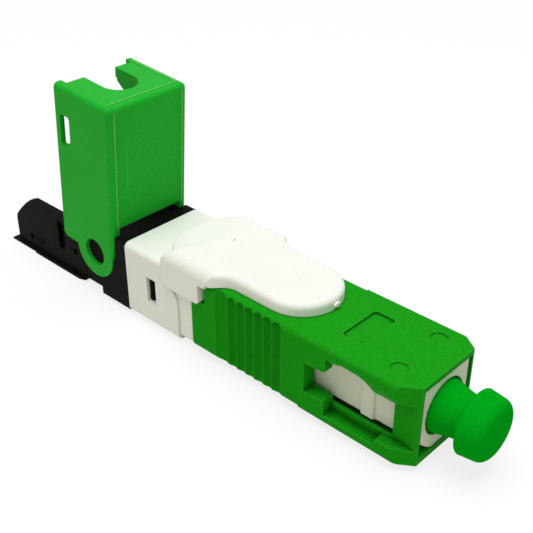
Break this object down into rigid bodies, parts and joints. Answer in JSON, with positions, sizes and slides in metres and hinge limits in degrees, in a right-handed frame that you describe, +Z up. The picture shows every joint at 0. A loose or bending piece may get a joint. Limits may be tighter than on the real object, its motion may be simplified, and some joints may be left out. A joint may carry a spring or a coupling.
{
  "type": "field-installable fibre connector",
  "caption": "Square push-pull optical connector with an angled ferrule under a dust cap, a sliding lock pad and a hinged tail cap standing open.",
  "frame": {"origin": "centre of the ferrule's angled end face", "axes": "+X out of the mating end along the ferrule, +Z up with the key rail underneath, +Y to the left looking along +X"},
  "size_m": [0.0575, 0.0098, 0.0214],
  "materials": {
    "green_shell": "satin moulded plastic",
    "green_flap": "satin moulded plastic",
    "soft_green": "soft moulded plastic",
    "white_plastic": "satin moulded plastic",
    "frame_white": "satin moulded plastic",
    "black_plastic": "satin moulded plastic",
    "zirconia": "polished ceramic",
    "spring_steel": "drawn wire",
    "bare_glass": "drawn silica",
    "metal_holder": "turned"
  },
  "bodies": {
    "body": {"main_body": "white_plastic", "tail_base": "black_plastic", "fibre_guide": "frame_white", "plug_frame": "frame_white", "spring_seat": "black_plastic"},
    "housing": {"outer_housing": "green_shell"},
    "pad": {"slider_pad": "white_plastic"},
    "carriage": {"ferrule": "zirconia", "ferrule_holder": "metal_holder", "fibre_stub": "bare_glass", "splice_base": "white_plastic", "v_groove_chip": "metal_holder", "splice_cover_front": "white_plastic", "splice_cover_rear": "white_plastic", "clamp_sleeve": "spring_steel", "ferrule_spring": "spring_steel"},
    "cap": {"flip_cap": "green_flap"},
    "dust_cap": {"dust_cap": "soft_green"}
  },
  "joints": [
    {"name": "housing_float", "type": "slide", "parent": "body", "child": "housing", "axis": [1, 0, 0], "range_m": [0, 0.001]},
    {"name": "pad_slide", "type": "slide", "parent": "body", "child": "pad", "axis": [1, 0, 0], "range_m": [-0.0024, 0]},
    {"name": "ferrule_float", "type": "slide", "parent": "body", "child": "carriage", "axis": [1, 0, 0], "range_m": [-0.0008, 0], "stiffness_N_per_m": 1500, "deforming": ["ferrule_spring"]},
    {"name": "cap_hinge", "type": "hinge", "parent": "body", "child": "cap", "pos_m": [-0.03877, 0, 0.00044], "axis": [0, -1, 0], "range_deg": [0, 94.5]},
    {"name": "dust_cap_pull", "type": "slide", "parent": "carriage", "child": "dust_cap", "axis": [1, 0, 0], "range_m": [0, 0.014]}
  ]
}
